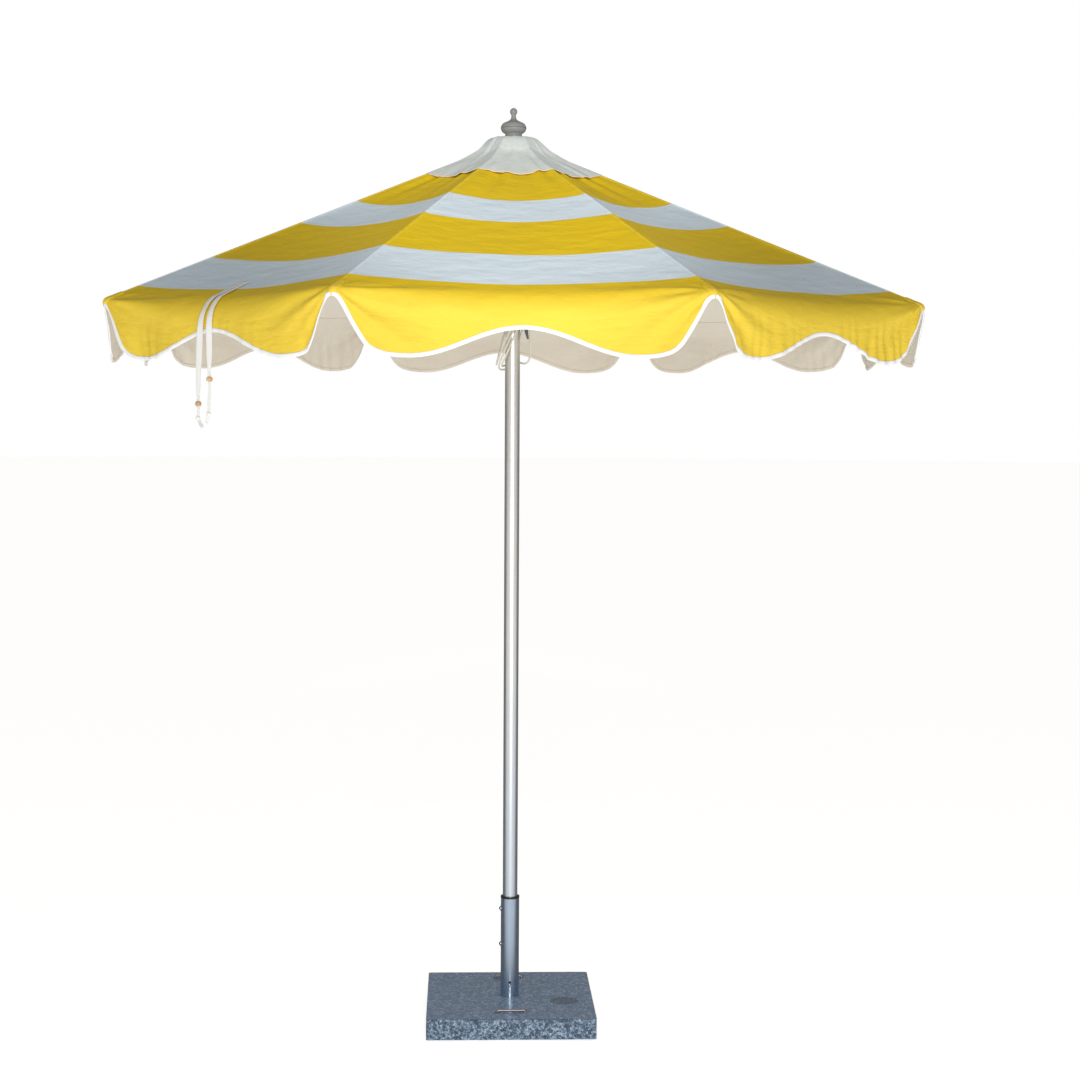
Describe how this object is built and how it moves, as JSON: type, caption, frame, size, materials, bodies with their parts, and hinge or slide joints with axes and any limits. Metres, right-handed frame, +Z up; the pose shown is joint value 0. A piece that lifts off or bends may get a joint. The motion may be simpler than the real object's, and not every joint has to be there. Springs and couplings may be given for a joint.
{
  "type": "beach umbrella",
  "caption": "Round striped beach umbrella with folding ribs, cord-lift runner, scalloped valance and vent cap, its pole clamped in a tube on a square granite slab.",
  "frame": {"origin": "on the ground under the middle of the pole, at the underside of the rubber feet", "axes": "+Z up along the pole; the clamp screws are on the -X side; the slab's handles are at -Y and +Y"},
  "size_m": [2.0328, 2.0328, 2.4615],
  "materials": {
    "granite": "satin",
    "rubber": "matte",
    "black_plastic": "satin",
    "satin_steel": "satin",
    "bright_steel": "polished",
    "dark_steel": "satin",
    "pole_aluminium": "satin",
    "white_plastic": "satin",
    "grey_plastic": "satin",
    "dark_plastic": "satin",
    "white_cloth": "matte",
    "cream_cord": "matte",
    "white_tape": "matte",
    "bead_wood": "satin",
    "rib_aluminium": "satin",
    "striped_cloth": "matte"
  },
  "bodies": {
    "base": {"granite_slab": "granite", "rubber_feet": "rubber", "base_tube": "satin_steel", "tube_plug": "bright_steel", "tube_bolt": "bright_steel", "reducer_sleeve": "black_plastic"},
    "clamp_screw_upper": {"clamp_screw_upper": "dark_steel"},
    "clamp_screw_lower": {"clamp_screw_lower": "dark_steel"},
    "handle_front": {"handle_front": "bright_steel"},
    "handle_back": {"handle_back": "bright_steel"},
    "pole_foot": {"pole_foot_cap": "black_plastic"},
    "pole": {"pole_tube": "pole_aluminium", "top_hub": "white_plastic", "finial": "grey_plastic", "rib_root_pins": "bright_steel", "sheave_axle": "bright_steel", "vent_cap": "white_cloth", "hoist_cord": "cream_cord"},
    "sheave": {"sheave": "dark_plastic"},
    "runner": {"runner": "white_plastic", "runner_pins": "bright_steel", "cord_cleat": "dark_plastic", "cord_tail": "cream_cord"},
    "rib_1": {"rib_1": "rib_aluminium"},
    "strut_1": {"strut_1": "rib_aluminium"},
    "gore_1": {"gore_1": "striped_cloth"},
    "valance_1": {"valance_1": "striped_cloth"},
    "rib_2": {"rib_2": "rib_aluminium"},
    "strut_2": {"strut_2": "rib_aluminium"},
    "gore_2": {"gore_2": "striped_cloth"},
    "valance_2": {"valance_2": "striped_cloth"},
    "rib_3": {"rib_3": "rib_aluminium"},
    "strut_3": {"strut_3": "rib_aluminium"},
    "gore_3": {"gore_3": "striped_cloth"},
    "valance_3": {"valance_3": "striped_cloth"},
    "rib_4": {"rib_4": "rib_aluminium"},
    "strut_4": {"strut_4": "rib_aluminium"},
    "gore_4": {"gore_4": "striped_cloth"},
    "valance_4": {"valance_4": "striped_cloth"},
    "rib_5": {"rib_5": "rib_aluminium"},
    "strut_5": {"strut_5": "rib_aluminium"},
    "gore_5": {"gore_5": "striped_cloth"},
    "valance_5": {"valance_5": "striped_cloth"},
    "rib_6": {"rib_6": "rib_aluminium"},
    "strut_6": {"strut_6": "rib_aluminium"},
    "gore_6": {"gore_6": "striped_cloth"},
    "valance_6": {"valance_6": "striped_cloth"},
    "rib_7": {"rib_7": "rib_aluminium"},
    "strut_7": {"strut_7": "rib_aluminium"},
    "gore_7": {"gore_7": "striped_cloth"},
    "valance_7": {"valance_7": "striped_cloth"},
    "rib_8": {"rib_8": "rib_aluminium"},
    "strut_8": {"strut_8": "rib_aluminium"},
    "gore_8": {"gore_8": "striped_cloth"},
    "valance_8": {"valance_8": "striped_cloth", "tie_tapes": "white_tape", "tie_beads": "bead_wood"}
  },
  "joints": [
    {"name": "clamp_upper_unscrew", "type": "slide", "parent": "base", "child": "clamp_screw_upper", "axis": [-1, 0, 0], "range_m": [0, 0.004]},
    {"name": "clamp_lower_unscrew", "type": "slide", "parent": "base", "child": "clamp_screw_lower", "axis": [-1, 0, 0], "range_m": [0, 0.004]},
    {"name": "handle_front_lift", "type": "slide", "parent": "base", "child": "handle_front", "axis": [0, 0, 1], "range_m": [0, 0.028]},
    {"name": "handle_back_lift", "type": "slide", "parent": "base", "child": "handle_back", "axis": [0, 0, 1], "range_m": [0, 0.028]},
    {"name": "pole_lift", "type": "slide", "parent": "base", "child": "pole_foot", "axis": [0, 0, 1], "range_m": [0, 0.24]},
    {"name": "pole_turn", "type": "hinge", "parent": "pole_foot", "child": "pole", "pos_m": [0, 0, 0.04], "axis": [0, 0, 1], "continuous": true},
    {"name": "runner_slide", "type": "slide", "parent": "pole", "child": "runner", "axis": [0, 0, 1], "range_m": [-0.5642, 0], "deforming": ["hoist_cord", "cord_tail", "vent_cap", "tie_tapes", "tie_beads"]},
    {"name": "sheave_turn", "type": "hinge", "parent": "pole", "child": "sheave", "pos_m": [0, 0, 2.29], "axis": [0, 1, 0], "range_deg": [-1260, 0]},
    {"name": "rib_1_fold", "type": "hinge", "parent": "pole", "child": "rib_1", "pos_m": [-0.01607, -0.0388, 2.347], "axis": [0.9239, -0.3827, 0], "range_deg": [0, 61.75]},
    {"name": "strut_1_fold", "type": "hinge", "parent": "rib_1", "child": "strut_1", "pos_m": [-0.1837, -0.44349, 2.15006], "axis": [0.9239, -0.3827, 0], "range_deg": [-123.5, 0]},
    {"name": "gore_1_fold", "type": "hinge", "parent": "pole", "child": "gore_1", "pos_m": [0, -0.0388, 2.347], "axis": [1, 0, 0], "range_deg": [0, 60.57], "deforming": ["gore_1"]},
    {"name": "valance_1_fold", "type": "hinge", "parent": "gore_1", "child": "valance_1", "pos_m": [0, -0.969, 1.93407], "axis": [1, 0, 0], "range_deg": [-60.57, 0], "deforming": ["valance_1"]},
    {"name": "rib_2_fold", "type": "hinge", "parent": "pole", "child": "rib_2", "pos_m": [0.01607, -0.0388, 2.347], "axis": [0.9239, 0.3827, 0], "range_deg": [0, 61.75]},
    {"name": "strut_2_fold", "type": "hinge", "parent": "rib_2", "child": "strut_2", "pos_m": [0.1837, -0.44349, 2.15006], "axis": [0.9239, 0.3827, 0], "range_deg": [-123.5, 0]},
    {"name": "gore_2_fold", "type": "hinge", "parent": "pole", "child": "gore_2", "pos_m": [0.02744, -0.02744, 2.347], "axis": [0.7071, 0.7071, 0], "range_deg": [0, 60.57], "deforming": ["gore_2"]},
    {"name": "valance_2_fold", "type": "hinge", "parent": "gore_2", "child": "valance_2", "pos_m": [0.68519, -0.68519, 1.93407], "axis": [0.7071, 0.7071, 0], "range_deg": [-60.57, 0], "deforming": ["valance_2"]},
    {"name": "rib_3_fold", "type": "hinge", "parent": "pole", "child": "rib_3", "pos_m": [0.0388, -0.01607, 2.347], "axis": [0.3827, 0.9239, 0], "range_deg": [0, 61.75]},
    {"name": "strut_3_fold", "type": "hinge", "parent": "rib_3", "child": "strut_3", "pos_m": [0.44349, -0.1837, 2.15006], "axis": [0.3827, 0.9239, 0], "range_deg": [-123.5, 0]},
    {"name": "gore_3_fold", "type": "hinge", "parent": "pole", "child": "gore_3", "pos_m": [0.0388, 0, 2.347], "axis": [0, 1, 0], "range_deg": [0, 60.57], "deforming": ["gore_3"]},
    {"name": "valance_3_fold", "type": "hinge", "parent": "gore_3", "child": "valance_3", "pos_m": [0.969, 0, 1.93407], "axis": [0, 1, 0], "range_deg": [-60.57, 0], "deforming": ["valance_3"]},
    {"name": "rib_4_fold", "type": "hinge", "parent": "pole", "child": "rib_4", "pos_m": [0.0388, 0.01607, 2.347], "axis": [-0.3827, 0.9239, 0], "range_deg": [0, 61.75]},
    {"name": "strut_4_fold", "type": "hinge", "parent": "rib_4", "child": "strut_4", "pos_m": [0.44349, 0.1837, 2.15006], "axis": [-0.3827, 0.9239, 0], "range_deg": [-123.5, 0]},
    {"name": "gore_4_fold", "type": "hinge", "parent": "pole", "child": "gore_4", "pos_m": [0.02744, 0.02744, 2.347], "axis": [-0.7071, 0.7071, 0], "range_deg": [0, 60.57], "deforming": ["gore_4"]},
    {"name": "valance_4_fold", "type": "hinge", "parent": "gore_4", "child": "valance_4", "pos_m": [0.68519, 0.68519, 1.93407], "axis": [-0.7071, 0.7071, 0], "range_deg": [-60.57, 0], "deforming": ["valance_4"]},
    {"name": "rib_5_fold", "type": "hinge", "parent": "pole", "child": "rib_5", "pos_m": [0.01607, 0.0388, 2.347], "axis": [-0.9239, 0.3827, 0], "range_deg": [0, 61.75]},
    {"name": "strut_5_fold", "type": "hinge", "parent": "rib_5", "child": "strut_5", "pos_m": [0.1837, 0.44349, 2.15006], "axis": [-0.9239, 0.3827, 0], "range_deg": [-123.5, 0]},
    {"name": "gore_5_fold", "type": "hinge", "parent": "pole", "child": "gore_5", "pos_m": [0, 0.0388, 2.347], "axis": [-1, 0, 0], "range_deg": [0, 60.57], "deforming": ["gore_5"]},
    {"name": "valance_5_fold", "type": "hinge", "parent": "gore_5", "child": "valance_5", "pos_m": [0, 0.969, 1.93407], "axis": [-1, 0, 0], "range_deg": [-60.57, 0], "deforming": ["valance_5"]},
    {"name": "rib_6_fold", "type": "hinge", "parent": "pole", "child": "rib_6", "pos_m": [-0.01607, 0.0388, 2.347], "axis": [-0.9239, -0.3827, 0], "range_deg": [0, 61.75]},
    {"name": "strut_6_fold", "type": "hinge", "parent": "rib_6", "child": "strut_6", "pos_m": [-0.1837, 0.44349, 2.15006], "axis": [-0.9239, -0.3827, 0], "range_deg": [-123.5, 0]},
    {"name": "gore_6_fold", "type": "hinge", "parent": "pole", "child": "gore_6", "pos_m": [-0.02744, 0.02744, 2.347], "axis": [-0.7071, -0.7071, 0], "range_deg": [0, 60.57], "deforming": ["gore_6"]},
    {"name": "valance_6_fold", "type": "hinge", "parent": "gore_6", "child": "valance_6", "pos_m": [-0.68519, 0.68519, 1.93407], "axis": [-0.7071, -0.7071, 0], "range_deg": [-60.57, 0], "deforming": ["valance_6"]},
    {"name": "rib_7_fold", "type": "hinge", "parent": "pole", "child": "rib_7", "pos_m": [-0.0388, 0.01607, 2.347], "axis": [-0.3827, -0.9239, 0], "range_deg": [0, 61.75]},
    {"name": "strut_7_fold", "type": "hinge", "parent": "rib_7", "child": "strut_7", "pos_m": [-0.44349, 0.1837, 2.15006], "axis": [-0.3827, -0.9239, 0], "range_deg": [-123.5, 0]},
    {"name": "gore_7_fold", "type": "hinge", "parent": "pole", "child": "gore_7", "pos_m": [-0.0388, 0, 2.347], "axis": [0, -1, 0], "range_deg": [0, 60.57], "deforming": ["gore_7"]},
    {"name": "valance_7_fold", "type": "hinge", "parent": "gore_7", "child": "valance_7", "pos_m": [-0.969, 0, 1.93407], "axis": [0, -1, 0], "range_deg": [-60.57, 0], "deforming": ["valance_7"]},
    {"name": "rib_8_fold", "type": "hinge", "parent": "pole", "child": "rib_8", "pos_m": [-0.0388, -0.01607, 2.347], "axis": [0.3827, -0.9239, 0], "range_deg": [0, 61.75]},
    {"name": "strut_8_fold", "type": "hinge", "parent": "rib_8", "child": "strut_8", "pos_m": [-0.44349, -0.1837, 2.15006], "axis": [0.3827, -0.9239, 0], "range_deg": [-123.5, 0]},
    {"name": "gore_8_fold", "type": "hinge", "parent": "pole", "child": "gore_8", "pos_m": [-0.02744, -0.02744, 2.347], "axis": [0.7071, -0.7071, 0], "range_deg": [0, 60.57], "deforming": ["gore_8"]},
    {"name": "valance_8_fold", "type": "hinge", "parent": "gore_8", "child": "valance_8", "pos_m": [-0.68519, -0.68519, 1.93407], "axis": [0.7071, -0.7071, 0], "range_deg": [-60.57, 0], "deforming": ["valance_8"]}
  ],
  "couplings": [
    {"joint": "sheave_turn", "follows": "runner_slide", "rad_per_m": 37.879},
    {"joint": "rib_1_fold", "follows": "runner_slide", "rad_per_m": -1.9087},
    {"joint": "strut_1_fold", "follows": "runner_slide", "rad_per_m": 3.8173},
    {"joint": "gore_1_fold", "follows": "runner_slide", "rad_per_m": -1.872},
    {"joint": "valance_1_fold", "follows": "runner_slide", "rad_per_m": 1.872},
    {"joint": "rib_2_fold", "follows": "runner_slide", "rad_per_m": -1.9087},
    {"joint": "strut_2_fold", "follows": "runner_slide", "rad_per_m": 3.8173},
    {"joint": "gore_2_fold", "follows": "runner_slide", "rad_per_m": -1.872},
    {"joint": "valance_2_fold", "follows": "runner_slide", "rad_per_m": 1.872},
    {"joint": "rib_3_fold", "follows": "runner_slide", "rad_per_m": -1.9087},
    {"joint": "strut_3_fold", "follows": "runner_slide", "rad_per_m": 3.8173},
    {"joint": "gore_3_fold", "follows": "runner_slide", "rad_per_m": -1.872},
    {"joint": "valance_3_fold", "follows": "runner_slide", "rad_per_m": 1.872},
    {"joint": "rib_4_fold", "follows": "runner_slide", "rad_per_m": -1.9087},
    {"joint": "strut_4_fold", "follows": "runner_slide", "rad_per_m": 3.8173},
    {"joint": "gore_4_fold", "follows": "runner_slide", "rad_per_m": -1.872},
    {"joint": "valance_4_fold", "follows": "runner_slide", "rad_per_m": 1.872},
    {"joint": "rib_5_fold", "follows": "runner_slide", "rad_per_m": -1.9087},
    {"joint": "strut_5_fold", "follows": "runner_slide", "rad_per_m": 3.8173},
    {"joint": "gore_5_fold", "follows": "runner_slide", "rad_per_m": -1.872},
    {"joint": "valance_5_fold", "follows": "runner_slide", "rad_per_m": 1.872},
    {"joint": "rib_6_fold", "follows": "runner_slide", "rad_per_m": -1.9087},
    {"joint": "strut_6_fold", "follows": "runner_slide", "rad_per_m": 3.8173},
    {"joint": "gore_6_fold", "follows": "runner_slide", "rad_per_m": -1.872},
    {"joint": "valance_6_fold", "follows": "runner_slide", "rad_per_m": 1.872},
    {"joint": "rib_7_fold", "follows": "runner_slide", "rad_per_m": -1.9087},
    {"joint": "strut_7_fold", "follows": "runner_slide", "rad_per_m": 3.8173},
    {"joint": "gore_7_fold", "follows": "runner_slide", "rad_per_m": -1.872},
    {"joint": "valance_7_fold", "follows": "runner_slide", "rad_per_m": 1.872},
    {"joint": "rib_8_fold", "follows": "runner_slide", "rad_per_m": -1.9087},
    {"joint": "strut_8_fold", "follows": "runner_slide", "rad_per_m": 3.8173},
    {"joint": "gore_8_fold", "follows": "runner_slide", "rad_per_m": -1.872},
    {"joint": "valance_8_fold", "follows": "runner_slide", "rad_per_m": 1.872}
  ]
}
